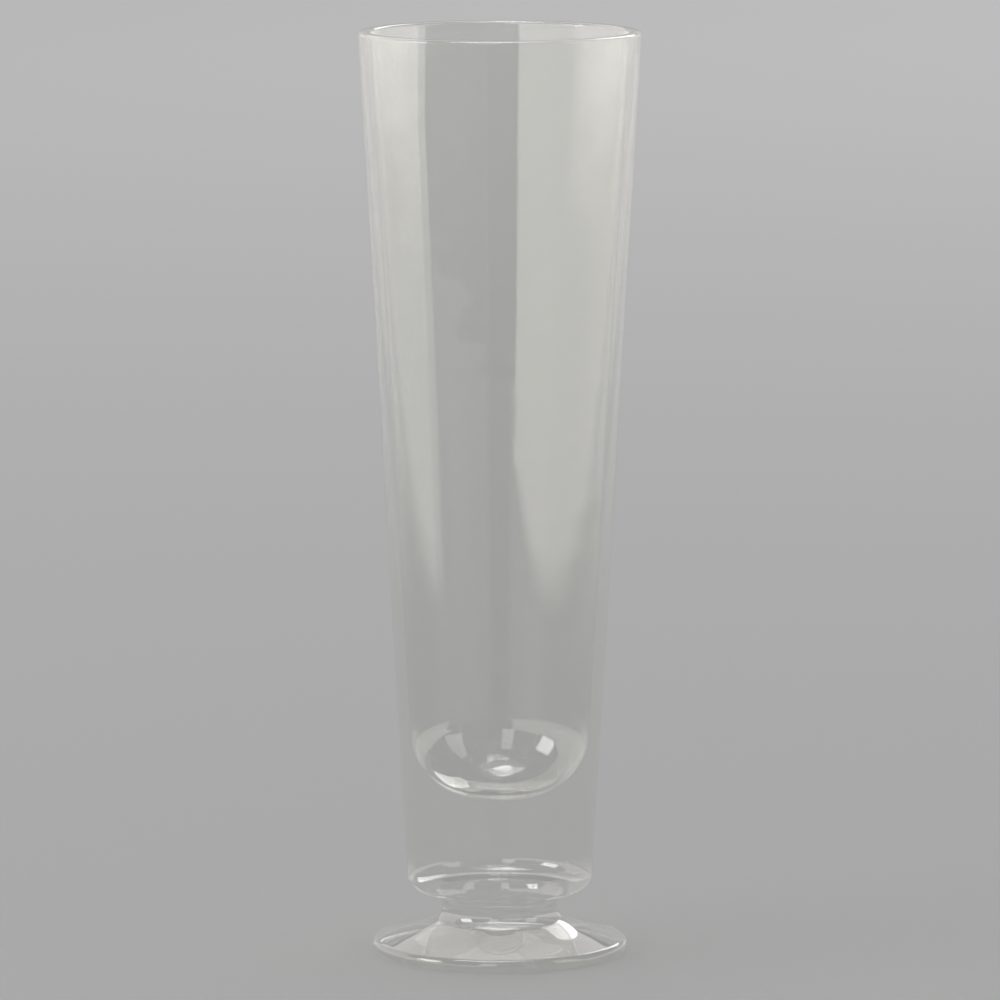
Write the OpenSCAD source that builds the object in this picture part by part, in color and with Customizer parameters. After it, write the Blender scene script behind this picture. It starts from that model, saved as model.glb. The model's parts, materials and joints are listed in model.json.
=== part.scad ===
// Sling glass: a tall, tapered drinking glass on a short stem and a round foot.
// Three pieces of clear glass, fused hot, each sitting face to face on the one below it.
// The origin is the middle of the foot, on the surface the glass stands on.

/* [Whole glass] */
// Height from the table to the top of the rim
glass_h = 220; // [180:1:280]

/* [Foot] */
// Outer diameter of the foot
foot_d = 61; // [50:0.5:80]
// Thickness of the foot's rounded edge
foot_edge_t = 3.4; // [2:0.1:6]
// Slope of the foot's top at its edge, in degrees
foot_slope = 13; // [5:0.5:20]
// Slope of the foot's top at the stem, in degrees
foot_stem_slope = 22; // [21:0.5:35]
// Width of the flat ring that the foot stands on
foot_ring_w = 5; // [2:0.5:10]
// Depth of the hollow under the foot
foot_hollow = 0.8; // [0.2:0.1:2]

/* [Stem] */
// Diameter of the stem at its waist
stem_d = 27.6; // [20:0.2:34]
// Height of the straight waist between the flare and the fillet
stem_waist_h = 0.2; // [0.1:0.1:60]
// Half-width of the oval that the stem flares along, down to the foot
stem_flare_w = 4.2; // [3:0.1:10]
// Half-height of that oval
stem_flare_h = 3.6; // [3:0.1:8]
// Radius of the fillet from the waist up to the bowl
stem_bowl_fillet = 4.7; // [1:0.1:6]
// How far that fillet turns outwards, in degrees
stem_bowl_turn = 45; // [20:1:70]

/* [Bowl] */
// Outer diameter at the rim
rim_d = 66.9; // [50:0.1:90]
// Outer diameter of the wall just above the heel
heel_d = 44.1; // [40:0.1:60]
// Half-width of the oval that rounds the heel
heel_round_w = 4.5; // [0.5:0.1:6]
// Half-height of that oval
heel_round_h = 3.6; // [0.5:0.1:8]
// Slope of the underside from the stem up to the heel, in degrees
under_slope = 8; // [2:0.5:20]
// Thickness of the wall at the rim
wall_rim_t = 2.85; // [1.2:0.05:5]
// Thickness of the wall where the floor begins to curve
wall_base_t = 2.75; // [1.2:0.05:5]
// Half-height of the rounding on the fire-polished rim
rim_round_h = 0.75; // [0.3:0.05:1.4]
// Thickness of the solid base, under the middle of the floor
base_t = 22.4; // [4:0.1:60]
// Height of the rounded floor, from its middle to where the straight wall begins
floor_h = 16; // [6:0.2:30]
// Fullness of the floor's curve: 2 is half an oval, and more is squarer
floor_fullness = 2.3; // [2:0.1:3]

/* [Hidden] */
$fn = 128;

// Clear glass with a faint warm green tint
glass_colour = [0.86, 0.88, 0.85, 0.45];
// Largest turn from one point of an arc to the next, in degrees, and the fewest steps along one
arc_step = 6;
arc_least_steps = 8;

// Points of [radius, height] along part of an ellipse, or of a circle where both half-axes are alike
function oval(centre, half_w, half_h, from, to) =
    let (steps = max(arc_least_steps, ceil(abs(to - from) / arc_step)))
    [for (i = [0 : steps])
        let (turn = from + (to - from) * i / steps)
        centre + [half_w * cos(turn), half_h * sin(turn)]];
function arc(centre, radius, from, to) = oval(centre, radius, radius, from, to);

// Foot: a disc with a rounded edge, a top that rises more steeply inwards, and a shallow hollow underneath
foot_edge_r = foot_edge_t / 2;
foot_edge_centre = [foot_d / 2 - foot_edge_r, foot_edge_r];
foot_top_turn = 90 - foot_slope;
foot_edge_top = foot_edge_centre + foot_edge_r * [cos(foot_top_turn), sin(foot_top_turn)];
foot_hollow_r = foot_edge_centre.x - foot_ring_w;
foot_hollow_curve_r = (pow(foot_hollow_r, 2) + pow(foot_hollow, 2)) / (2 * foot_hollow);
foot_hollow_centre = [0, foot_hollow - foot_hollow_curve_r];
foot_hollow_turn = acos(foot_hollow_r / foot_hollow_curve_r);

// Stem: its flare runs on in the slope of the foot's top, and its fillet meets the bowl's underside in a crease
stem_r = stem_d / 2;
stem_flare_turn = atan2(stem_flare_h * cos(foot_stem_slope), stem_flare_w * sin(foot_stem_slope));
stem_foot_r = stem_r + stem_flare_w * (1 - cos(stem_flare_turn));
stem_bowl_r = stem_r + stem_bowl_fillet * (1 - cos(stem_bowl_turn));
foot_top_curve_r = (foot_edge_top.x - stem_foot_r) / (sin(foot_stem_slope) - sin(foot_slope));
foot_top_centre = foot_edge_top + foot_top_curve_r * [sin(foot_slope), cos(foot_slope)];
foot_h = foot_top_centre.y - foot_top_curve_r * cos(foot_stem_slope);
waist_z = foot_h + stem_flare_h * sin(stem_flare_turn);
waist_top_z = waist_z + stem_waist_h;
bowl_z = waist_top_z + stem_bowl_fillet * sin(stem_bowl_turn);

// Bowl, outside: a sloping underside, and a heel rounded into a straight wall that ends in the rim
under_turn = atan2(heel_round_h * cos(under_slope), heel_round_w * sin(under_slope));
under_r = heel_d / 2 - heel_round_w * (1 - cos(under_turn));
heel_z = bowl_z + (under_r - stem_bowl_r) * tan(under_slope) + heel_round_h * sin(under_turn);
lip_w = wall_rim_t / 2;
lip_centre = [rim_d / 2 - lip_w, glass_h - rim_round_h];
outer_lean = atan((rim_d - heel_d) / 2 / (lip_centre.y - heel_z));
heel_rise = heel_round_h * tan(outer_lean);
heel_centre = [heel_d / 2 - norm([heel_round_w, heel_rise]), heel_z];
heel_turn = atan(heel_rise / heel_round_w);
lip_start = atan(rim_round_h * tan(outer_lean) / lip_w);

// Bowl, inside: a straight wall touching the lip, and a full, rounded floor touching that wall
floor_z = bowl_z + base_t;
floor_centre = [0, floor_z + floor_h];
floor_r = heel_d / 2 + (floor_centre.y - heel_z) * tan(outer_lean) - wall_base_t;
lip_stretch = lip_w / rim_round_h;
to_lip = [lip_centre.x - floor_r, (lip_centre.y - floor_centre.y) * lip_stretch];
lip_turn = atan(to_lip.x / to_lip.y) - asin(lip_w / norm(to_lip));
inner_lean = atan(tan(lip_turn) * lip_stretch);
floor_steps = 90 / arc_step;
floor_curve = [for (i = [0 : floor_steps])
    let (drop = floor_h * pow(sin(90 * i / floor_steps), 2 / floor_fullness))
    let (share = pow(cos(90 * i / floor_steps), 2 / floor_fullness))
    [(floor_r - drop * tan(inner_lean)) * share, floor_centre.y - drop]];

// Turns a closed outline of [radius, height] points about the glass's axis
module turned(outline) {
    color(glass_colour)
        rotate_extrude()
            polygon(outline);
}

// Tapered cup with a heavy solid base and a fire-polished rim
module bowl() {
    turned(concat(
        [[0, bowl_z], [stem_bowl_r, bowl_z]],
        oval(heel_centre, heel_round_w, heel_round_h, -under_turn, -heel_turn),
        oval(lip_centre, lip_w, rim_round_h, -lip_start, 180 - lip_turn),
        floor_curve
    ));
}

// Short solid neck between the foot and the bowl
module stem() {
    turned(concat(
        [[0, foot_h]],
        oval([stem_r + stem_flare_w, waist_z], stem_flare_w, stem_flare_h, 180 + stem_flare_turn, 180),
        arc([stem_r + stem_bowl_fillet, waist_top_z], stem_bowl_fillet, 180, 180 - stem_bowl_turn),
        [[0, bowl_z]]
    ));
}

// Round foot that the glass stands on
module foot() {
    turned(concat(
        arc(foot_hollow_centre, foot_hollow_curve_r, 90, foot_hollow_turn),
        arc(foot_edge_centre, foot_edge_r, -90, foot_top_turn),
        arc(foot_top_centre, foot_top_curve_r, 270 - foot_slope, 270 - foot_stem_slope),
        [[0, foot_h]]
    ));
}

bowl();
stem();
foot();
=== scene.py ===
"""Looks of the sling glass: three turned pieces of clear glass, fused hot, in a plain grey studio.

Lengths are in metres and angles in radians, unless a name says otherwise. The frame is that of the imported
model: the origin is the middle of the foot, on the table, and +Z runs up the axis of the glass. The camera
looks along +Y.
"""

import json
import logging
import math
from dataclasses import dataclass
from enum import Enum
from typing import Any, ClassVar, Union

import bpy
from mathutils import Euler, Matrix, Vector

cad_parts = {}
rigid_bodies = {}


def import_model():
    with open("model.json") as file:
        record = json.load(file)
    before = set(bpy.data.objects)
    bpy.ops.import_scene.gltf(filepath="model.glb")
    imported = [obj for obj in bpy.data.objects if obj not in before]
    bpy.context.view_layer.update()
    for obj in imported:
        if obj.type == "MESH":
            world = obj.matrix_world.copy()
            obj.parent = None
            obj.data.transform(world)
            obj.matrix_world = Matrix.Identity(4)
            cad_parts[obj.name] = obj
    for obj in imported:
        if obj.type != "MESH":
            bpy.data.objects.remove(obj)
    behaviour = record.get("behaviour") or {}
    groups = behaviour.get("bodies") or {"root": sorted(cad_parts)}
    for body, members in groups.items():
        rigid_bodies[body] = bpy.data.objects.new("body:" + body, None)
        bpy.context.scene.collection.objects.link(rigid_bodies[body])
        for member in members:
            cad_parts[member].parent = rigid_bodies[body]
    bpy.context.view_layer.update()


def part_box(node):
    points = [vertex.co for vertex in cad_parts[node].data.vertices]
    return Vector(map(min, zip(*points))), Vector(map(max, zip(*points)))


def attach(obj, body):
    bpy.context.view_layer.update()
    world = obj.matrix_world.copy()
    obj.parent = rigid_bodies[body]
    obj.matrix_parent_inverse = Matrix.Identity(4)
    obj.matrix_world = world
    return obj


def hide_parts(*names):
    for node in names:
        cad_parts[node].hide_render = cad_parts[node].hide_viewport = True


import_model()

log = logging.getLogger("sling_glass")

MM = 0.001
BODY = "root"
PURE_WHITE = (1, 1, 1, 1)

Point = tuple[float, float]
Colour = tuple[float, float, float]
Operand = Union["Socket", float]


class Face(Enum):
    """How the surface at a ring of an outline is finished; the value is stored on the ring's points."""

    OPEN = 0.0
    FUSED = 1.0


class Warmth(Enum):
    """Colour of a studio light."""

    WHITE = (1.0, 0.99, 0.975)
    CREAM = (1.0, 0.955, 0.91)


class Socket:
    """An output socket of a node tree. Arithmetic on it adds Math nodes."""

    def __init__(self, tree: "Tree", socket: bpy.types.NodeSocket) -> None:
        """Wraps one output socket."""
        self.tree = tree
        self.socket = socket

    def other(self, name: str) -> "Socket":
        """Another output of the same node."""
        return Socket(self.tree, self.socket.node.outputs[name])

    def __add__(self, other: Operand) -> "Socket":
        """Sum."""
        return self.tree.math("ADD", self, other)

    def __radd__(self, other: float) -> "Socket":
        """Sum, from the right."""
        return self.tree.math("ADD", other, self)

    def __sub__(self, other: Operand) -> "Socket":
        """Difference."""
        return self.tree.math("SUBTRACT", self, other)

    def __rsub__(self, other: float) -> "Socket":
        """Difference, from the right."""
        return self.tree.math("SUBTRACT", other, self)

    def __mul__(self, other: Operand) -> "Socket":
        """Product."""
        return self.tree.math("MULTIPLY", self, other)

    def __rmul__(self, other: float) -> "Socket":
        """Product, from the right."""
        return self.tree.math("MULTIPLY", other, self)

    def __truediv__(self, other: Operand) -> "Socket":
        """Quotient."""
        return self.tree.math("DIVIDE", self, other)

    def __pow__(self, other: Operand) -> "Socket":
        """Power."""
        return self.tree.math("POWER", self, other)

    def __mod__(self, other: Operand) -> "Socket":
        """Remainder."""
        return self.tree.math("MODULO", self, other)

    def __gt__(self, other: Operand) -> "Socket":
        """One where this is the larger, else zero."""
        return self.tree.math("GREATER_THAN", self, other)


class Tree:
    """A shader or geometry node tree that is filled node by node."""

    def __init__(self, node_tree: bpy.types.NodeTree) -> None:
        """Empties a node tree, ready to be filled."""
        self.node_tree = node_tree
        node_tree.nodes.clear()

    def node(
        self,
        kind: str,
        settings: dict[str, Any] | None = None,
        sockets: dict[str | int, Any] | None = None,
        output: str | int = 0,
    ) -> Socket:
        """Adds a node.

        Args:
            kind: The node's type.
            settings: Properties of the node, which are set before its sockets.
            sockets: Values or links of its inputs, by name or number.
            output: The output that is returned, by name or number.

        Returns:
            That output, or the first input of a node without outputs.
        """
        made = self.node_tree.nodes.new(kind)
        for name, value in (settings or {}).items():
            setattr(made, name, value)
        for name, value in (sockets or {}).items():
            if isinstance(value, Socket):
                self.node_tree.links.new(value.socket, made.inputs[name])
            else:
                made.inputs[name].default_value = value
        return Socket(self, made.outputs[output] if made.outputs else made.inputs[0])

    def math(self, operation: str, *values: Operand) -> Socket:
        """One Math node on sockets and numbers."""
        return self.node("ShaderNodeMath", {"operation": operation}, dict(enumerate(values)))

    def vector(self, operation: str, *values: Any, output: str = "Vector") -> Socket:
        """One Vector Math node on sockets and vectors."""
        return self.node("ShaderNodeVectorMath", {"operation": operation}, dict(enumerate(values)), output)

    def position(self) -> Socket:
        """The point of the surface in the piece's own coordinates."""
        return self.node("ShaderNodeTexCoord", output="Object")

    def noise(self, at: Socket, grain: float, detail: float = 2.0, roughness: float = 0.5) -> Socket:
        """Cloudy noise from 0 to 1.

        Args:
            at: Where the noise is read.
            grain: Size of its largest blotches.
            detail: How many finer octaves it has.
            roughness: How strong those are.

        Returns:
            The noise value.
        """
        sockets = {"Vector": at, "Scale": 1 / grain, "Detail": detail, "Roughness": roughness}
        return self.node("ShaderNodeTexNoise", {"noise_dimensions": "3D"}, sockets)

    def rise(self, value: Socket, low: float, high: float, to: float = 1.0) -> Socket:
        """A smooth step from 0 at low to another value at high.

        Args:
            value: What is mapped.
            low: Where the step starts.
            high: Where it ends.
            to: What it reaches.

        Returns:
            The stepped value.
        """
        sockets = {"Value": value, "From Min": low, "From Max": high, "To Min": 0.0, "To Max": to}
        return self.node("ShaderNodeMapRange", {"interpolation_type": "SMOOTHSTEP"}, sockets)


class Outline:
    """The rings of a turned piece, from one end of its outline to the other."""

    ARC_STEP: ClassVar[float] = math.radians(3)
    LEAST_STEPS: ClassVar[int] = 12
    RUN_STEP: ClassVar[float] = 4 * MM
    GUARD: ClassVar[float] = 0.25 * MM
    SAME_PLACE: ClassVar[float] = 1e-9

    def __init__(self) -> None:
        """Starts an outline with no rings."""
        self.points: list[Point] = []
        self.faces: list[Face] = []

    def _add(self, point: Point, face: Face) -> None:
        """Adds a ring, or marks the last one again if it is in the same place."""
        if self.points and math.dist(self.points[-1], point) < self.SAME_PLACE:
            if face is Face.FUSED:
                self.faces[-1] = face
            return
        self.points.append(point)
        self.faces.append(face)

    def fused(self, *points: Point) -> "Outline":
        """Goes to points on a face that is fused to a neighbour, with no rings between them.

        Args:
            points: Radius and height of each.

        Returns:
            This outline.
        """
        for point in points:
            self._add(point, Face.FUSED)
        return self

    def to(self, point: Point) -> "Outline":
        """Goes straight to a point, with a guard ring near each end that keeps the shading of the run flat.

        Args:
            point: Radius and height of the run's end.

        Returns:
            This outline.
        """
        if self.points:
            start = Vector(self.points[-1])
            way = Vector(point) - start
            inner = way.length - 2 * self.GUARD
            if inner > 0:
                steps = math.ceil(inner / self.RUN_STEP)
                for step in range(steps + 1):
                    gone = self.GUARD + inner * step / steps
                    self._add(tuple(start + way * (gone / way.length)), Face.OPEN)
        self._add(point, Face.OPEN)
        return self

    def oval(self, centre: Point, half_w: float, half_h: float, start: float, end: float) -> "Outline":
        """Goes straight to the start of an arc of an ellipse, then along it.

        Args:
            centre: Radius and height of its centre.
            half_w: Its half-axis across.
            half_h: Its half-axis upwards.
            start: Angle of its first point.
            end: Angle of its last point.

        Returns:
            This outline.
        """
        steps = max(self.LEAST_STEPS, math.ceil(abs(end - start) / self.ARC_STEP))
        for step in range(steps + 1):
            turn = start + (end - start) * step / steps
            point = (centre[0] + half_w * math.cos(turn), centre[1] + half_h * math.sin(turn))
            if step == 0:
                self.to(point)
            else:
                self._add(point, Face.OPEN)
        return self

    def arc(self, centre: Point, radius: float, start: float, end: float) -> "Outline":
        """Goes straight to the start of an arc of a circle, then along it."""
        return self.oval(centre, radius, radius, start, end)

    def cup(self, start: Point, depth: float, lean: float, fullness: float) -> "Outline":
        """Goes straight to where a rounded cup starts, then down along it to the axis.

        Args:
            start: Radius and height of its upper end.
            depth: How far it goes down.
            lean: How much its upper end narrows for each length that it goes down.
            fullness: 2 for half an oval, more for a squarer cup.

        Returns:
            This outline.
        """
        self.to(start)
        steps = math.ceil(math.pi / 2 / self.ARC_STEP)
        for step in range(1, steps):
            turn = math.pi / 2 * step / steps
            drop = depth * math.sin(turn) ** (2 / fullness)
            share = math.cos(turn) ** (2 / fullness)
            self._add(((start[0] - drop * lean) * share, start[1] - drop), Face.OPEN)
        self._add((0.0, start[1] - depth), Face.OPEN)
        return self

    def mesh(self, name: str) -> bpy.types.Mesh:
        """The outline as a mesh of points in the XZ plane, with each ring's face stored on its point.

        Args:
            name: Name of the mesh.

        Returns:
            The mesh, joined up by edges.
        """
        made = bpy.data.meshes.new(name)
        edges = [(i, i + 1) for i in range(len(self.points) - 1)]
        made.from_pydata([(radius, 0, height) for radius, height in self.points], edges, [])
        stored = made.attributes.new(Lathe.FUSED, "FLOAT", "POINT")
        stored.data.foreach_set("value", [face.value for face in self.faces])
        return made


class Lathe:
    """A Geometry Nodes tree that turns an outline about the upright axis into a closed piece of glass."""

    FUSED: ClassVar[str] = "fused"
    STEPS: ClassVar[str] = "Steps round"
    CREASE: ClassVar[str] = "Crease from"
    WELD: ClassVar[str] = "Weld within"
    GLASS: ClassVar[str] = "Open face"
    JOINT: ClassVar[str] = "Fused face"
    ALL_FUSED: ClassVar[float] = 0.99

    def __init__(
        self,
        steps_round: int = 240,
        crease: float = math.radians(10),
        weld: float = 0.001 * MM,
    ) -> None:
        """Builds the tree.

        Args:
            steps_round: Steps once round the axis.
            crease: The least angle that counts as a crease in the shading.
            weld: How close points are that become one, at the seam and on the axis.
        """
        self.group = bpy.data.node_groups.new("turn_about_axis", "GeometryNodeTree")
        self.values = {self.STEPS: steps_round, self.CREASE: crease, self.WELD: weld}
        tree = Tree(self.group)
        self.ids = self._sockets()
        given = tree.node("NodeGroupInput")
        turned = self._turn(tree, given)
        self._finish(tree, given, turned)

    def _sockets(self) -> dict[str, str]:
        kinds = {
            "Outline": "NodeSocketGeometry",
            self.STEPS: "NodeSocketInt",
            self.CREASE: "NodeSocketFloat",
            self.WELD: "NodeSocketFloat",
            self.GLASS: "NodeSocketMaterial",
            self.JOINT: "NodeSocketMaterial",
        }
        made = {
            name: self.group.interface.new_socket(name, in_out="INPUT", socket_type=kind).identifier
            for name, kind in kinds.items()
        }
        self.group.interface.new_socket("Turned", in_out="OUTPUT", socket_type="NodeSocketGeometry")
        return made

    def _turn(self, tree: Tree, given: Socket) -> Socket:
        """Rolls a grid of rings and steps into the turned surface.

        Args:
            tree: The tree that is filled.
            given: The group's first input, the outline.

        Returns:
            The surface, welded at the seam and on the axis.
        """
        steps = given.other(self.STEPS)
        rings = tree.node("GeometryNodeAttributeDomainSize", {"component": "MESH"}, {0: given}, "Point Count")
        grid = tree.node("GeometryNodeMeshGrid", sockets={"Vertices X": steps + 1.0, "Vertices Y": rings})
        index = tree.node("GeometryNodeInputIndex")
        ring = index % rings
        turn = tree.math("FLOOR", index / rings) * (2 * math.pi) / steps

        place = tree.node("GeometryNodeInputPosition")
        face = tree.node("GeometryNodeInputNamedAttribute", {"data_type": "FLOAT"}, {"Name": self.FUSED})
        at = {"Geometry": given, "Index": ring}
        point = tree.node("GeometryNodeSampleIndex", {"data_type": "FLOAT_VECTOR"}, at | {"Value": place})
        mark = tree.node("GeometryNodeSampleIndex", {"data_type": "FLOAT"}, at | {"Value": face})

        kept = {"Geometry": grid, "Name": self.FUSED, "Value": mark}
        marked = tree.node("GeometryNodeStoreNamedAttribute", {"data_type": "FLOAT", "domain": "POINT"}, kept)
        radius = tree.node("ShaderNodeSeparateXYZ", sockets={0: point})
        round_place = tree.node(
            "ShaderNodeCombineXYZ",
            sockets={
                "X": radius * tree.math("COSINE", turn),
                "Y": radius * tree.math("SINE", turn),
                "Z": radius.other("Z"),
            },
        )
        rolled = tree.node("GeometryNodeSetPosition", sockets={"Geometry": marked, "Position": round_place})
        weld = {"Geometry": rolled, "Distance": given.other(self.WELD)}
        return tree.node("GeometryNodeMergeByDistance", sockets=weld)

    def _finish(self, tree: Tree, given: Socket, turned: Socket) -> None:
        """Smooths the surface up to its creases and gives its open and fused faces their materials.

        Args:
            tree: The tree that is filled.
            given: The group's first input.
            turned: The welded surface.
        """
        bend = tree.node("GeometryNodeInputMeshEdgeAngle", output="Unsigned Angle")
        whole = {"Geometry": turned, "Shade Smooth": True}
        smooth = tree.node("GeometryNodeSetShadeSmooth", {"domain": "FACE"}, whole)
        crease = {"Geometry": smooth, "Selection": bend > given.other(self.CREASE), "Shade Smooth": False}
        creased = tree.node("GeometryNodeSetShadeSmooth", {"domain": "EDGE"}, crease)
        real = tree.node("GeometryNodeRealizeInstances", sockets={"Geometry": creased})
        open_face = {"Geometry": real, "Material": given.other(self.GLASS)}
        glazed = tree.node("GeometryNodeSetMaterial", sockets=open_face)
        face = tree.node("GeometryNodeInputNamedAttribute", {"data_type": "FLOAT"}, {"Name": self.FUSED})
        chosen = face > self.ALL_FUSED
        fused_face = {"Geometry": glazed, "Selection": chosen, "Material": given.other(self.JOINT)}
        joined = tree.node("GeometryNodeSetMaterial", sockets=fused_face)
        tree.node("NodeGroupOutput", sockets={0: joined})

    def turn(
        self,
        name: str,
        outline: Outline,
        materials: dict[Face, bpy.types.Material],
    ) -> bpy.types.Object:
        """Turns one outline.

        Args:
            name: Name of the piece.
            outline: Its rings, with the glass on the left of the way from first to last.
            materials: The material of its open and of its fused faces.

        Returns:
            The piece as an object with a plain mesh, at the origin.
        """
        blank = bpy.data.objects.new(name + "_outline", outline.mesh(name + "_outline"))
        bpy.context.scene.collection.objects.link(blank)
        modifier = blank.modifiers.new("turn", "NODES")
        modifier.node_group = self.group
        values = self.values | {self.GLASS: materials[Face.OPEN], self.JOINT: materials[Face.FUSED]}
        for key, value in values.items():
            modifier[self.ids[key]] = value
        depsgraph = bpy.context.evaluated_depsgraph_get()
        mesh = bpy.data.meshes.new_from_object(blank.evaluated_get(depsgraph), depsgraph=depsgraph)
        mesh.name = name
        mesh.attributes.remove(mesh.attributes[self.FUSED])
        bpy.data.objects.remove(blank)
        piece = bpy.data.objects.new(name, mesh)
        bpy.context.scene.collection.objects.link(piece)
        return piece


@dataclass(frozen=True)
class Mark:
    """A fine mark on the outside of the wall, placed by its ends.

    The ends are angles in degrees, from the camera's side to the right, and heights.
    """

    CORE: ClassVar[float] = 0.3

    start: Point
    end: Point
    width: float
    strength: float

    def mask(self, tree: Tree, turn: Socket, height: Socket, wall_r: float) -> Socket:
        """How strong the mark is at a point of the wall.

        Args:
            tree: The tree that is filled.
            turn: Angle round the axis.
            height: Height of the point.
            wall_r: Radius at which angles become lengths.

        Returns:
            The mark's strength, zero away from it.
        """
        first = Vector((math.radians(self.start[0]) * wall_r, self.start[1], 0))
        way = Vector((math.radians(self.end[0]) * wall_r, self.end[1], 0)) - first
        flat = tree.node("ShaderNodeCombineXYZ", sockets={"X": turn * wall_r, "Y": height})
        gone = tree.vector("SUBTRACT", flat, first)
        along = tree.vector("DOT_PRODUCT", gone, way / way.length_squared, output="Value")
        held = tree.node("ShaderNodeClamp", sockets={"Value": along})
        foot_point = tree.node("ShaderNodeCombineXYZ", sockets={"X": held * way.x, "Y": held * way.y})
        off = tree.vector("DISTANCE", gone, foot_point, output="Value")
        return self.strength - tree.rise(off, self.CORE * self.width, self.width, self.strength)


@dataclass(frozen=True)
class ClearGlass:
    """Polished clear glass that light passes without bending, as in a thin-walled sheet.

    Every surface passes a faintly green share of the light and mirrors the studio by its angle.
    """

    passed: Colour = (0.9645, 0.9662, 0.9575)
    head_on: float = 0.04
    grazing_power: float = 5.0
    polish: float = 0.012
    ripple_grain: float = 8.5 * MM
    ripple_depth: float = 0.06 * MM
    wear_from: Point = (70 * MM, 110 * MM)
    ripple_detail: float = 0.5
    ripple_least: float = 0.15
    patch_grain: float = 40 * MM
    patch_step: Point = (0.46, 0.62)
    smudge_grain: float = 16 * MM
    smudge_detail: float = 3.0
    smudge_roughness: float = 0.55
    smudge_step: Point = (0.58, 0.78)
    smudge_haze: float = 0.008
    smudge_polish: float = 0.02
    hairline_w: float = 0.11 * MM
    hairline_l: float = 16 * MM
    hairline_leans: Point = (math.radians(24), math.radians(-37))
    hairline_step: Point = (0.70, 0.78)
    hairline_haze: float = 0.02
    scratched_polish: float = 0.35
    wall_r: float = 28 * MM
    marks: tuple[Mark, ...] = (
        Mark((15.5, 95.0 * MM), (33.6, 78.9 * MM), 0.17 * MM, 0.20),
        Mark((7.1, 134.0 * MM), (13.3, 133.9 * MM), 0.22 * MM, 0.16),
    )

    def mirror(self, tree: Tree) -> Socket:
        """Share of light that a surface mirrors, from head on to grazing."""
        grazing = tree.node("ShaderNodeLayerWeight", sockets={"Blend": 0.5}, output="Facing")
        return self.head_on + (1 - self.head_on) * grazing ** self.grazing_power

    def ripple(self, tree: Tree, at: Socket, held: Socket) -> Socket:
        """Normal of the faintly wavy surface that a pressed and fire-polished wall has."""
        patch = tree.rise(tree.noise(at, self.patch_grain), *self.patch_step)
        wave = tree.noise(at, self.ripple_grain, self.ripple_detail) * (self.ripple_least + patch) * held
        return tree.node("ShaderNodeBump", sockets={"Height": wave, "Distance": self.ripple_depth})

    def smudges(self, tree: Tree, at: Socket) -> Socket:
        """Mask of the faint prints and wipe marks that handling leaves."""
        cloud = tree.noise(at, self.smudge_grain, self.smudge_detail, self.smudge_roughness)
        return tree.rise(cloud, *self.smudge_step)

    def hairlines(self, tree: Tree, at: Socket) -> Socket:
        """Mask of sparse hairline scratches, in two directions."""
        found = None
        stretch = (1 / self.hairline_l, 1 / self.hairline_l, 1 / self.hairline_w)
        for lean in self.hairline_leans:
            leaning = {"Vector": at, "Rotation": (lean, lean / 2, 0)}
            turned = tree.node("ShaderNodeMapping", {"vector_type": "TEXTURE"}, leaning)
            drawn = tree.vector("MULTIPLY", turned, stretch)
            line = tree.rise(tree.noise(drawn, 1.0, 1.0), *self.hairline_step)
            found = line if found is None else tree.math("MAXIMUM", found, line)
        return found

    def material(self) -> bpy.types.Material:
        """Builds the material of the open faces.

        Returns:
            A mix of clear passing and mirroring, with wear in its gloss.
        """
        made = bpy.data.materials.new("clear_glass")
        made.use_nodes = True
        tree = Tree(made.node_tree)
        at = tree.position()
        side = tree.node("ShaderNodeSeparateXYZ", sockets={0: at})
        turn = tree.math("ARCTAN2", side, 0.0 - side.other("Y"))
        held = tree.rise(side.other("Z"), *self.wear_from)
        smudges = self.smudges(tree, at) * held
        hairlines = self.hairlines(tree, at)
        marked = sum((mark.mask(tree, turn, side.other("Z"), self.wall_r) for mark in self.marks), 0.0)

        haze = smudges * self.smudge_haze + hairlines * self.hairline_haze
        mirrored = self.mirror(tree) + haze + marked
        rough = self.polish + smudges * self.smudge_polish + (hairlines + marked) * self.scratched_polish
        normal = self.ripple(tree, at, held)
        clear = tree.node("ShaderNodeBsdfTransparent", sockets={"Color": (*self.passed, 1)})
        coat = {"Color": PURE_WHITE, "Roughness": rough, "Normal": normal}
        gloss = tree.node("ShaderNodeBsdfAnisotropic", sockets=coat)
        mixed = tree.node("ShaderNodeMixShader", sockets={0: mirrored, 1: clear, 2: gloss})
        tree.node("ShaderNodeOutputMaterial", sockets={"Surface": mixed})
        return made

    def joint(self) -> bpy.types.Material:
        """Builds the material of the fused faces, which can't be seen where glass has run into glass."""
        made = bpy.data.materials.new("fused_glass")
        made.use_nodes = True
        tree = Tree(made.node_tree)
        clear = tree.node("ShaderNodeBsdfTransparent", sockets={"Color": PURE_WHITE})
        tree.node("ShaderNodeOutputMaterial", sockets={"Surface": clear})
        return made


class TurnedPiece:
    """A piece of glass that replaces one CAD node."""

    node: ClassVar[str]
    piece: bpy.types.Object

    def outline(self) -> Outline:
        """The outline that is turned."""
        raise NotImplementedError

    def build(self, lathe: Lathe, materials: dict[Face, bpy.types.Material]) -> None:
        """Turns the mesh, with its open and fused faces dressed in their materials."""
        self.piece = lathe.turn(self.node + "_glass", self.outline(), materials)

    def dress(self) -> None:
        """Puts the piece in the place of its CAD node."""
        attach(self.piece, BODY)
        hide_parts(self.node)


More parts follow.
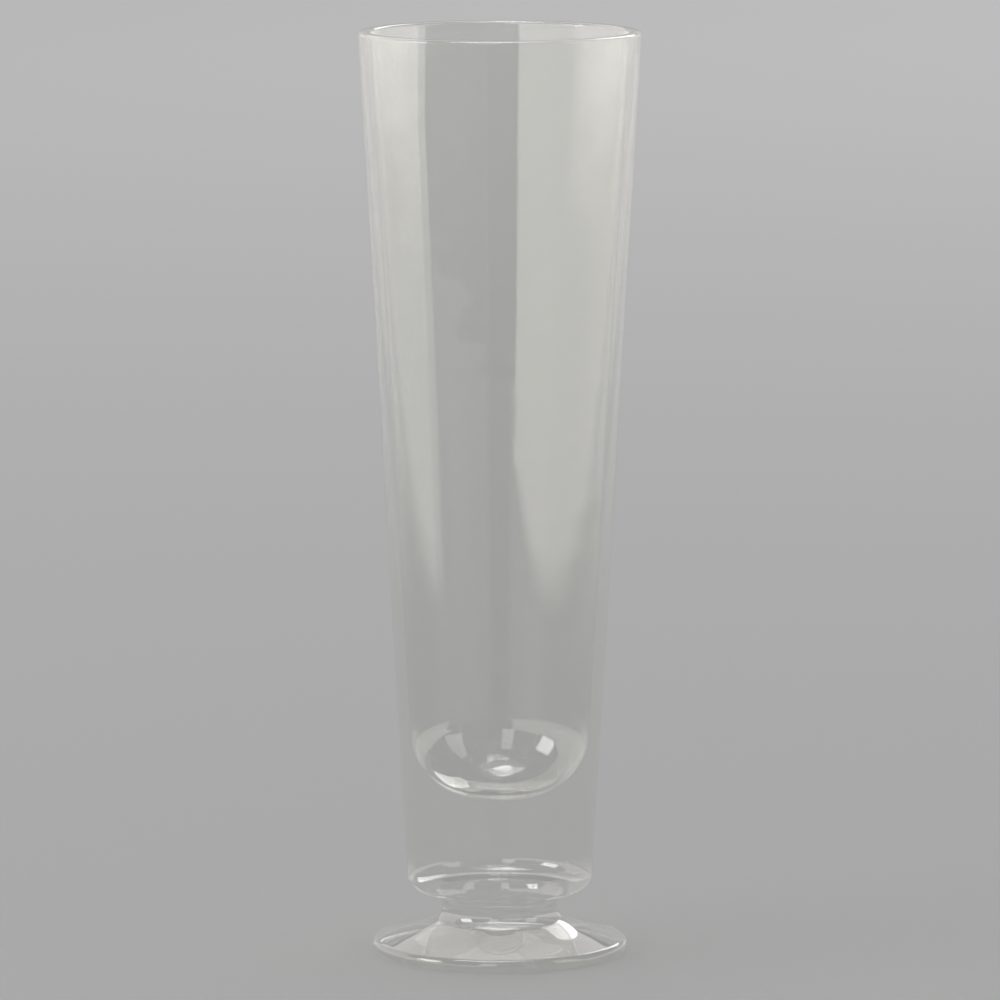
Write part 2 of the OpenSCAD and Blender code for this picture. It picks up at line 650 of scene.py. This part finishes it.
@dataclass
class Foot(TurnedPiece):
    """The round foot: a rounded edge, a top that steepens inwards, and a shallow hollow underneath."""

    node: ClassVar[str] = "foot"
    edge_t: float = 3.4 * MM
    slope: float = math.radians(13)
    stem_slope: float = math.radians(22)
    ring_w: float = 5 * MM
    hollow: float = 0.8 * MM

    def outline(self) -> Outline:
        """From the middle of the hollow, out over the edge, to the middle of the fused top."""
        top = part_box(self.node)[1]
        edge_r = self.edge_t / 2
        edge_centre = (top.x - edge_r, edge_r)
        edge_end = math.pi / 2 - self.slope
        edge_top = (edge_centre[0] + edge_r * math.cos(edge_end), edge_r + edge_r * math.sin(edge_end))
        top_curve_r = (top.z - edge_top[1]) / (math.cos(self.slope) - math.cos(self.stem_slope))
        top_centre = (
            edge_top[0] + top_curve_r * math.sin(self.slope),
            edge_top[1] + top_curve_r * math.cos(self.slope),
        )
        top_r = top_centre[0] - top_curve_r * math.sin(self.stem_slope)
        hollow_r = edge_centre[0] - self.ring_w
        curve_r = (hollow_r ** 2 + self.hollow ** 2) / (2 * self.hollow)
        drawn = Outline()
        drawn.arc((0, self.hollow - curve_r), curve_r, math.pi / 2, math.acos(hollow_r / curve_r))
        drawn.arc(edge_centre, edge_r, -math.pi / 2, edge_end)
        drawn.arc(top_centre, top_curve_r, 1.5 * math.pi - self.slope, 1.5 * math.pi - self.stem_slope)
        return drawn.fused((top_r, top.z), (0, top.z))


@dataclass
class Stem(TurnedPiece):
    """The short solid neck between the foot and the bowl: an oval flare below and a fillet above."""

    node: ClassVar[str] = "stem"
    foot_slope: float = Foot.stem_slope
    flare_w: float = 4.2 * MM
    flare_h: float = 3.6 * MM
    fillet: float = 4.7 * MM
    fillet_turn: float = math.radians(45)

    def flare_turn(self) -> float:
        """Angle on the flare's oval at which it has the slope of the foot's top."""
        return math.atan2(self.flare_h * math.cos(self.foot_slope), self.flare_w * math.sin(self.foot_slope))

    def waist_r(self) -> float:
        """Radius of the stem where it is narrowest."""
        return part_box(self.node)[1].x - self.flare_w * (1 - math.cos(self.flare_turn()))

    def top_r(self) -> float:
        """Radius of the stem's fused top."""
        return self.waist_r() + self.fillet * (1 - math.cos(self.fillet_turn))

    def outline(self) -> Outline:
        """From the middle of the fused underside, over the flare and the fillet, to the middle of the top."""
        low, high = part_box(self.node)
        waist_r = self.waist_r()
        flare_turn = self.flare_turn()
        flare_centre = (waist_r + self.flare_w, low.z + self.flare_h * math.sin(flare_turn))
        fillet_centre = (waist_r + self.fillet, high.z - self.fillet * math.sin(self.fillet_turn))
        drawn = Outline().fused((0, low.z), (high.x, low.z))
        drawn.oval(flare_centre, self.flare_w, self.flare_h, math.pi + flare_turn, math.pi)
        drawn.arc(fillet_centre, self.fillet, math.pi, math.pi - self.fillet_turn)
        return drawn.fused((self.top_r(), high.z), (0, high.z))


@dataclass
class Bowl(TurnedPiece):
    """The tapered cup, with its heavy solid base and its fire-polished rim."""

    node: ClassVar[str] = "bowl"
    heel_d: float = 44.1 * MM
    heel_round_w: float = 4.5 * MM
    heel_round_h: float = 3.6 * MM
    under_slope: float = math.radians(8)
    wall_rim_t: float = 2.85 * MM
    wall_base_t: float = 2.75 * MM
    rim_round_h: float = 0.75 * MM
    base_t: float = 22.4 * MM
    floor_h: float = 16 * MM
    floor_fullness: float = 2.3

    def outline(self) -> Outline:
        """From the middle of the underside, up the outside and over the rim, to the middle of the floor."""
        low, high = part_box(self.node)
        stem_r = Stem().top_r()
        heel_r = self.heel_d / 2
        round_w, round_h = self.heel_round_w, self.heel_round_h
        under_turn = math.atan2(round_h * math.cos(self.under_slope), round_w * math.sin(self.under_slope))
        under_w = heel_r - round_w * (1 - math.cos(under_turn)) - stem_r
        heel_z = low.z + under_w * math.tan(self.under_slope) + round_h * math.sin(under_turn)
        lip_w = self.wall_rim_t / 2
        lip = (high.x - lip_w, high.z - self.rim_round_h)
        lean = (high.x - heel_r) / (lip[1] - heel_z)
        heel = (heel_r - math.hypot(round_w, round_h * lean), heel_z)
        lip_start = math.atan(self.rim_round_h * lean / lip_w)

        # The straight inner wall touches the lip above and the rounded floor below
        floor_z = low.z + self.base_t + self.floor_h
        floor_r = heel_r + (floor_z - heel_z) * lean - self.wall_base_t
        stretch = lip_w / self.rim_round_h
        to_lip = Vector((lip[0] - floor_r, (lip[1] - floor_z) * stretch))
        lip_turn = math.atan(to_lip.x / to_lip.y) - math.asin(lip_w / to_lip.length)

        drawn = Outline().fused((0, low.z), (stem_r, low.z))
        drawn.oval(heel, round_w, round_h, -under_turn, -math.atan(round_h * lean / round_w))
        drawn.oval(lip, lip_w, self.rim_round_h, -lip_start, math.pi - lip_turn)
        return drawn.cup((floor_r, floor_z), self.floor_h, math.tan(lip_turn) * stretch, self.floor_fullness)


@dataclass(frozen=True)
class StudioGrey:
    """Matt grey surface of the studio floor, with painted light: it is painted paler further from the glass
    and to the far right, where the light is brighter.
    """

    # The rise from the near to the far tone, and the lift to the far right, are painted light, not the
    # floor's own colour.
    near: float = 0.41
    far: float = 0.60
    painted_light_from: float = -0.1
    painted_light_to: float = 2.9
    painted_light_sideways: float = 0.02
    painted_light_sideways_most: float = 0.03
    grain: float = 3 * MM
    grain_detail: float = 3.0
    grain_depth: float = 0.008

    def material(self) -> bpy.types.Material:
        """Builds the floor's material.

        Returns:
            A matt material with a fine grain.
        """
        made = bpy.data.materials.new("studio_grey")
        made.use_nodes = True
        tree = Tree(made.node_tree)
        at = tree.position()
        side = tree.node("ShaderNodeSeparateXYZ", sockets={0: at})
        away = tree.vector("LENGTH", at, output="Value")
        grain = tree.noise(at, self.grain, self.grain_detail)
        # Painted light: the tone is lifted to the far right and, below, with distance from the glass.
        lift = side * side.other("Y") * self.painted_light_sideways
        held = tree.node("ShaderNodeClamp", sockets={0: lift, 1: -self.painted_light_sideways_most, 2: self.painted_light_sideways_most})
        shade = self.near + tree.rise(away, self.painted_light_from, self.painted_light_to, self.far - self.near) + held
        shade = shade * (1 - self.grain_depth / 2 + grain * self.grain_depth)
        tone = tree.node("ShaderNodeCombineColor", sockets={0: shade, 1: shade, 2: shade})
        matt = tree.node("ShaderNodeBsdfDiffuse", sockets={"Color": tone})
        tree.node("ShaderNodeOutputMaterial", sockets={"Surface": matt})
        return made


def bearing_to(bearing: float, lift: float) -> Vector:
    """Unit vector from the glass towards a bearing and a lift.

    Args:
        bearing: Degrees round the glass: 0 the camera's side, 90 right, 180 behind.
        lift: Degrees above the table.

    Returns:
        The direction.
    """
    turn, rise = math.radians(bearing), math.radians(lift)
    return Vector((math.sin(turn) * math.cos(rise), -math.cos(turn) * math.cos(rise), math.sin(rise)))


def hang_panel(name: str, mesh: bpy.types.Mesh, finish: bpy.types.Material) -> bpy.types.Object:
    """Hangs a panel that only shows as a reflection, and lights no matt surface.

    Args:
        name: Name of the panel.
        mesh: Its surface, in place.
        finish: Its glowing material.

    Returns:
        The panel's object.
    """
    mesh.materials.append(finish)
    panel = bpy.data.objects.new(name, mesh)
    panel.visible_camera = False
    panel.visible_diffuse = False
    panel.visible_transmission = False
    panel.visible_shadow = False
    bpy.context.scene.collection.objects.link(panel)
    return panel


@dataclass(frozen=True)
class PanelGlow:
    """Even light of a panel, which fades in over a share of the way from its rim to its middle."""

    INSET: ClassVar[str] = "inset"

    radiance: float
    warmth: Warmth
    fade: float

    @classmethod
    def fan(cls, name: str, rim: list[Vector]) -> bpy.types.Mesh:
        """Spans a fan of triangles round the middle of a rim.

        Args:
            name: Name of the mesh.
            rim: Its corners.

        Returns:
            The mesh, with how far each point is from the rim to the middle.
        """
        count = len(rim)
        mesh = bpy.data.meshes.new(name)
        faces = [(i, (i + 1) % count, count) for i in range(count)]
        mesh.from_pydata([*rim, sum(rim, Vector()) / count], [], faces)
        inset = mesh.attributes.new(cls.INSET, "FLOAT", "POINT")
        inset.data.foreach_set("value", [0.0] * count + [1.0])
        return mesh

    def material(self, name: str) -> bpy.types.Material:
        """Builds the glowing material.

        Args:
            name: Name of the material.

        Returns:
            A glow that is clear at the rim.
        """
        made = bpy.data.materials.new(name)
        made.use_nodes = True
        made.cycles.emission_sampling = "NONE"
        tree = Tree(made.node_tree)
        inset = tree.node("ShaderNodeAttribute", {"attribute_name": self.INSET}, output="Fac")
        clear = tree.node("ShaderNodeBsdfTransparent", sockets={"Color": PURE_WHITE})
        light = {"Color": (*self.warmth.value, 1), "Strength": self.radiance}
        glow = tree.node("ShaderNodeEmission", sockets=light)
        shown = tree.rise(inset, 0.0, self.fade)
        mixed = tree.node("ShaderNodeMixShader", sockets={0: shown, 1: clear, 2: glow})
        tree.node("ShaderNodeOutputMaterial", sockets={"Surface": mixed})
        return made


@dataclass(frozen=True)
class Panel:
    """A bright panel that faces the glass; its corners are bearings and lifts, in degrees."""

    name: str
    corners: tuple[Point, ...]
    distance: float
    radiance: float
    warmth: Warmth = Warmth.WHITE
    fade: float = 0.04

    def hang(self, aim: Vector) -> bpy.types.Object:
        """Hangs the panel as a fan of triangles round its middle.

        Args:
            aim: The point of the glass that it faces.

        Returns:
            The panel's object.
        """
        rim = [aim + bearing_to(*corner) * self.distance for corner in self.corners]
        finish = PanelGlow(self.radiance, self.warmth, self.fade)
        return hang_panel(self.name, PanelGlow.fan(self.name, rim), finish.material(self.name))


@dataclass(frozen=True)
class PaintedShadeSheet:
    """A dim glowing sheet on the floor that only shows as a reflection, as painted shade: the floor there
    mirrors darker than it is lit; its corners are places on the floor.
    """

    name: str
    corners: tuple[Point, ...]
    radiance: float
    warmth: Warmth = Warmth.WHITE
    fade: float = 0.04
    lies: float = 0.6 * MM

    def hang(self) -> bpy.types.Object:
        """Lays the sheet of painted shade down."""
        rim = [Vector((*corner, self.lies)) for corner in self.corners]
        finish = PanelGlow(self.radiance, self.warmth, self.fade)
        return hang_panel(self.name, PanelGlow.fan(self.name, rim), finish.material(self.name))


@dataclass(frozen=True)
class CardGlow:
    """Light of a side card: it sweeps up from the floor, dims towards its far end and has a bright strip."""

    low: float = 0.4
    even: float = 2.5
    strip: float = 3.6
    sweep: Point = (1.0, 1.6)
    dims: Point = (0.0, 2.2)
    dims_by: float = 0.65
    strip_edge: float = 0.138
    strip_sinks: float = 0.058
    strip_fade: float = 0.02
    strip_high: Point = (0.24, 0.38)
    strip_starts: Point = (-0.62, -0.48)
    strip_ends: Point = (-0.6, 1.3)
    warmth: Warmth = Warmth.CREAM

    def material(self, name: str) -> bpy.types.Material:
        """Builds the glowing material.

        Args:
            name: Name of the material.

        Returns:
            A mix of the dimmest and the brightest glow.
        """
        made = bpy.data.materials.new(name)
        made.use_nodes = True
        made.cycles.emission_sampling = "NONE"
        tree = Tree(made.node_tree)
        at = tree.node("ShaderNodeSeparateXYZ", sockets={0: tree.position()})
        along = at.other("Y")
        height = at.other("Z")
        span = self.strip - self.low
        even = tree.rise(tree.math("ABSOLUTE", at), *self.sweep, (self.even - self.low) / span)
        even = even * (1 - tree.rise(along, *self.dims, self.dims_by))
        over = height + along * self.strip_sinks - self.strip_edge
        band = tree.rise(over, -self.strip_fade, self.strip_fade) - tree.rise(height, *self.strip_high)
        reach = tree.rise(along, *self.strip_starts) * (1 - tree.rise(along, *self.strip_ends))
        share = even + tree.math("MAXIMUM", band, 0.0) * reach * ((self.strip - self.even) / span)
        colour = (*self.warmth.value, 1)
        dim = tree.node("ShaderNodeEmission", sockets={"Color": colour, "Strength": self.low})
        bright = tree.node("ShaderNodeEmission", sockets={"Color": colour, "Strength": self.strip})
        mixed = tree.node("ShaderNodeMixShader", sockets={0: share, 1: dim, 2: bright})
        tree.node("ShaderNodeOutputMaterial", sockets={"Surface": mixed})
        return made


@dataclass(frozen=True)
class SideCard:
    """A bright card that stands beside the glass, along the line of sight, and sweeps out over the floor.

    Its outline is a row of upright edges: how far along the card, and the heights of the edge's ends.
    """

    name: str
    side: float
    edges: tuple[tuple[float, float, float], ...]
    sweep: float = 0.6
    sweep_z: float = 0.5 * MM

    def hang(self) -> bpy.types.Object:
        """Stands the card up on the floor."""
        mesh = bpy.data.meshes.new(self.name)
        inner = self.side - math.copysign(self.sweep, self.side)
        points = []
        for along, low, high in self.edges:
            base = self.side if low > 0 else inner
            foot_z = max(low, self.sweep_z)
            points += [(base, along, foot_z), (self.side, along, foot_z), (self.side, along, high)]
        faces = []
        for start in range(0, len(points) - 3, 3):
            faces += [(start + i, start + i + 3, start + i + 4, start + i + 1) for i in range(2)]
        mesh.from_pydata(points, [], faces)
        return hang_panel(self.name, mesh, CardGlow().material(self.name))


@dataclass(frozen=True)
class Softbox:
    """A soft lamp that lights the floor from a bearing, in degrees, and doesn't show as a reflection."""

    name: str
    bearing: float
    lift: float
    distance: float
    side: float
    irradiance: float

    def hang(self, aim: Vector) -> bpy.types.Object:
        """Hangs the lamp so that it lights a point of the glass as brightly as is asked.

        Args:
            aim: The point that it faces.

        Returns:
            The lamp's object.
        """
        away = bearing_to(self.bearing, self.lift)
        lamp = bpy.data.lights.new(self.name, "AREA")
        lamp.shape = "SQUARE"
        lamp.size = self.side
        lamp.energy = self.irradiance * math.pi * self.distance ** 2
        hung = bpy.data.objects.new(self.name, lamp)
        turn = (-away).to_track_quat("-Z", "Y").to_matrix().to_4x4()
        hung.matrix_world = Matrix.Translation(aim + away * self.distance) @ turn
        hung.visible_camera = False
        hung.visible_glossy = False
        bpy.context.scene.collection.objects.link(hung)
        return hung


@dataclass
class Studio:
    """Floor, lamps, panels, surroundings and camera."""

    floor_half: float = 14.0
    floor_gap: float = 0.02 * MM
    ambient: float = 0.80
    surround: float = 0.47
    dim: float = 0.1
    eye: tuple[float, float, float] = (0.00005, -1.6967, 0.34956)
    pitch: float = math.radians(8.086)
    most_walls: int = 48
    lens_mm: float = 260.1
    sensor_mm: float = 36.0
    aim: tuple[float, float, float] = (0, 0, 0.04)
    softboxes: tuple[Softbox, ...] = (
        Softbox("soft_left", -75, 40, 2.1, 1.2, 0.40),
        Softbox("soft_top", 170, 78, 2.1, 1.2, 0.32),
    )
    panels: tuple[Panel, ...] = (
        Panel("key_left", ((-60, 16), (-84, 20), (-92, 42), (-61, 42)), 2.1, 11.5),
        Panel("overhead", ((-110, 67.5), (-175, 67), (120, 75.5), (-45, 83.5)), 2.1, 13.0, fade=0.02),
        Panel("halo", ((82, 72), (0, 74), (-66, 75), (-125, 66), (180, 64), (140, 68)), 2.4, 1.6, fade=0.1),
        Panel("fill_right", ((80, 12), (52, 14), (66, 53), (85, 53)), 2.1, 3.1),
        Panel("fill_front", ((-3, 12), (-20, 12), (-20, 52), (-3, 52)), 3.0, 3.7, Warmth.CREAM),
        Panel("edge_low", ((149, 1), (148, 20), (167.1, 20), (167.5, 1)), 6.0, 3.2, fade=0.03),
        Panel(
            "edge_high",
            ((148, 19), (147, 47), (156, 47), (163, 39.5), (166.3, 37), (167.1, 33), (167.1, 19)),
            6.1,
            4.8,
            fade=0.02,
        ),
        Panel(
            "left_low",
            ((-161, 21), (-161, 31), (-172, 33), (-173, 23)),
            6.8,
            1.25,
            Warmth.CREAM,
            fade=0.15,
        ),
        Panel(
            "right_high",
            ((168, 35), (168, 45), (177, 46.5), (177, 38)),
            6.9,
            2.05,
            Warmth.CREAM,
            fade=0.25,
        ),
        Panel(
            "wall_left",
            (
                (-118, 18),
                (-118, 42),
                (-130, 47),
                (-144, 49),
                (-174, 52.5),
                (-174.5, 33),
                (-173, 23),
                (-168, 22.5),
                (-167, 6),
                (-150, 6),
                (-130, 14),
            ),
            7.0,
            1.8,
            Warmth.CREAM,
            fade=0.05,
        ),
        Panel(
            "wall_top",
            ((-166, 34.5), (-166, 52.5), (166, 52.5), (166, 34.5)),
            7.1,
            2.4,
            Warmth.CREAM,
            fade=0.05,
        ),
        Panel(
            "wall_right",
            ((158, 22.5), (158, 52), (174, 52.5), (174.5, 33), (173, 22.5)),
            7.2,
            1.4,
            Warmth.CREAM,
            fade=0.05,
        ),
        Panel("front_low", ((-13, -1.5), (16, -1.5), (16, 9), (-13, 9)), 10.0, 0.22, fade=0.2),
        Panel("backdrop", ((110, -1), (110, 20), (145, 20), (180, 20), (-140, 20), (-140, -1)), 8.0, 0.45),
    )
    # Sheets of painted shade, which make the floor in front of the glass mirror darker than it is lit.
    painted_shade_sheets: tuple[PaintedShadeSheet, ...] = (
        PaintedShadeSheet("painted_shade_front", ((-0.036, -0.2), (0.055, -0.2), (0.32, -1.2), (-0.24, -1.2)), 0.29, fade=0.15),
        PaintedShadeSheet("painted_shade_far", ((-0.24, -1.1), (0.32, -1.1), (2.9, -11), (-2.2, -11)), 0.34, fade=0.1),
    )
    cards: tuple[SideCard, ...] = (
        SideCard(
            "card_left",
            -1.6,
            (
                (-5.4, 0, 1.2),
                (-1.84, 0, 0.72),
                (-0.78, 0, 0.58),
                (-0.31, 0, 0.63),
                (0.06, 0, 0.82),
                (0.4, 0, 1.03),
                (0.9, 0, 1.63),
                (1.34, 0, 2.28),
                (2.2, 0, 3.17),
                (3.5, 0, 4.4),
            ),
        ),
        SideCard(
            "card_right",
            1.6,
            (
                (-0.62, 0.27, 0.32),
                (-0.43, 0.20, 0.335),
                (-0.42, 0, 0.336),
                (-0.06, 0, 0.41),
                (0.55, 0, 0.56),
                (1.66, 0, 0.60),
                (4.4, 0, 0.70),
            ),
        ),
    )

    def lay_floor(self) -> bpy.types.Object:
        """Lays the floor just under the foot, so that the two surfaces don't share a plane.

        Returns:
            The floor's object.
        """
        mesh = bpy.data.meshes.new("floor")
        half = self.floor_half
        places = ((-half, -half), (half, -half), (half, half), (-half, half))
        mesh.from_pydata([(x, y, -self.floor_gap) for x, y in places], [], [(0, 1, 2, 3)])
        mesh.materials.append(StudioGrey().material())
        floor = bpy.data.objects.new("floor", mesh)
        bpy.context.scene.collection.objects.link(floor)
        return floor

    def light(self) -> None:
        """Hangs the lamps, panels and cards, and sets what lies beyond the floor."""
        for hung in (*self.softboxes, *self.panels):
            hung.hang(Vector(self.aim))
        for hung in (*self.painted_shade_sheets, *self.cards):
            hung.hang()
        world = bpy.data.worlds.new("studio")
        bpy.context.scene.world = world
        world.use_nodes = True
        tree = Tree(world.node_tree)
        seen = tree.node("ShaderNodeLightPath", output="Is Camera Ray")
        mirrored = seen.other("Is Glossy Ray")
        strength = self.ambient + seen * (self.surround - self.ambient) + mirrored * (self.dim - self.ambient)
        glow = tree.node("ShaderNodeBackground", sockets={"Color": PURE_WHITE, "Strength": strength})
        tree.node("ShaderNodeOutputWorld", sockets={"Surface": glow})

    def set_camera(self) -> None:
        """Puts the camera where the photograph was taken from."""
        lens = bpy.data.cameras.new("camera")
        lens.lens = self.lens_mm
        lens.sensor_width = self.sensor_mm
        camera = bpy.data.objects.new("camera", lens)
        camera.location = self.eye
        camera.rotation_euler = Euler((math.pi / 2 - self.pitch, 0, 0))
        bpy.context.scene.collection.objects.link(camera)
        bpy.context.scene.camera = camera

    def set_render(self) -> None:
        """Sets plain colours, and lets light through every wall of the glass."""
        scene = bpy.context.scene
        scene.view_settings.view_transform = "Standard"
        scene.cycles.transparent_max_bounces = self.most_walls


def main() -> None:
    """Builds the studio and the glass."""
    logging.basicConfig(level=logging.INFO, format="%(name)s: %(message)s")
    studio = Studio()
    studio.set_camera()
    studio.lay_floor()
    studio.light()
    studio.set_render()

    finish = ClearGlass()
    materials = {Face.OPEN: finish.material(), Face.FUSED: finish.joint()}
    lathe = Lathe()
    for part in (Foot(), Stem(), Bowl()):
        part.build(lathe, materials)
        part.dress()
        log.info("%s: %d faces", part.piece.name, len(part.piece.data.polygons))


if __name__ == "__main__":
    main()
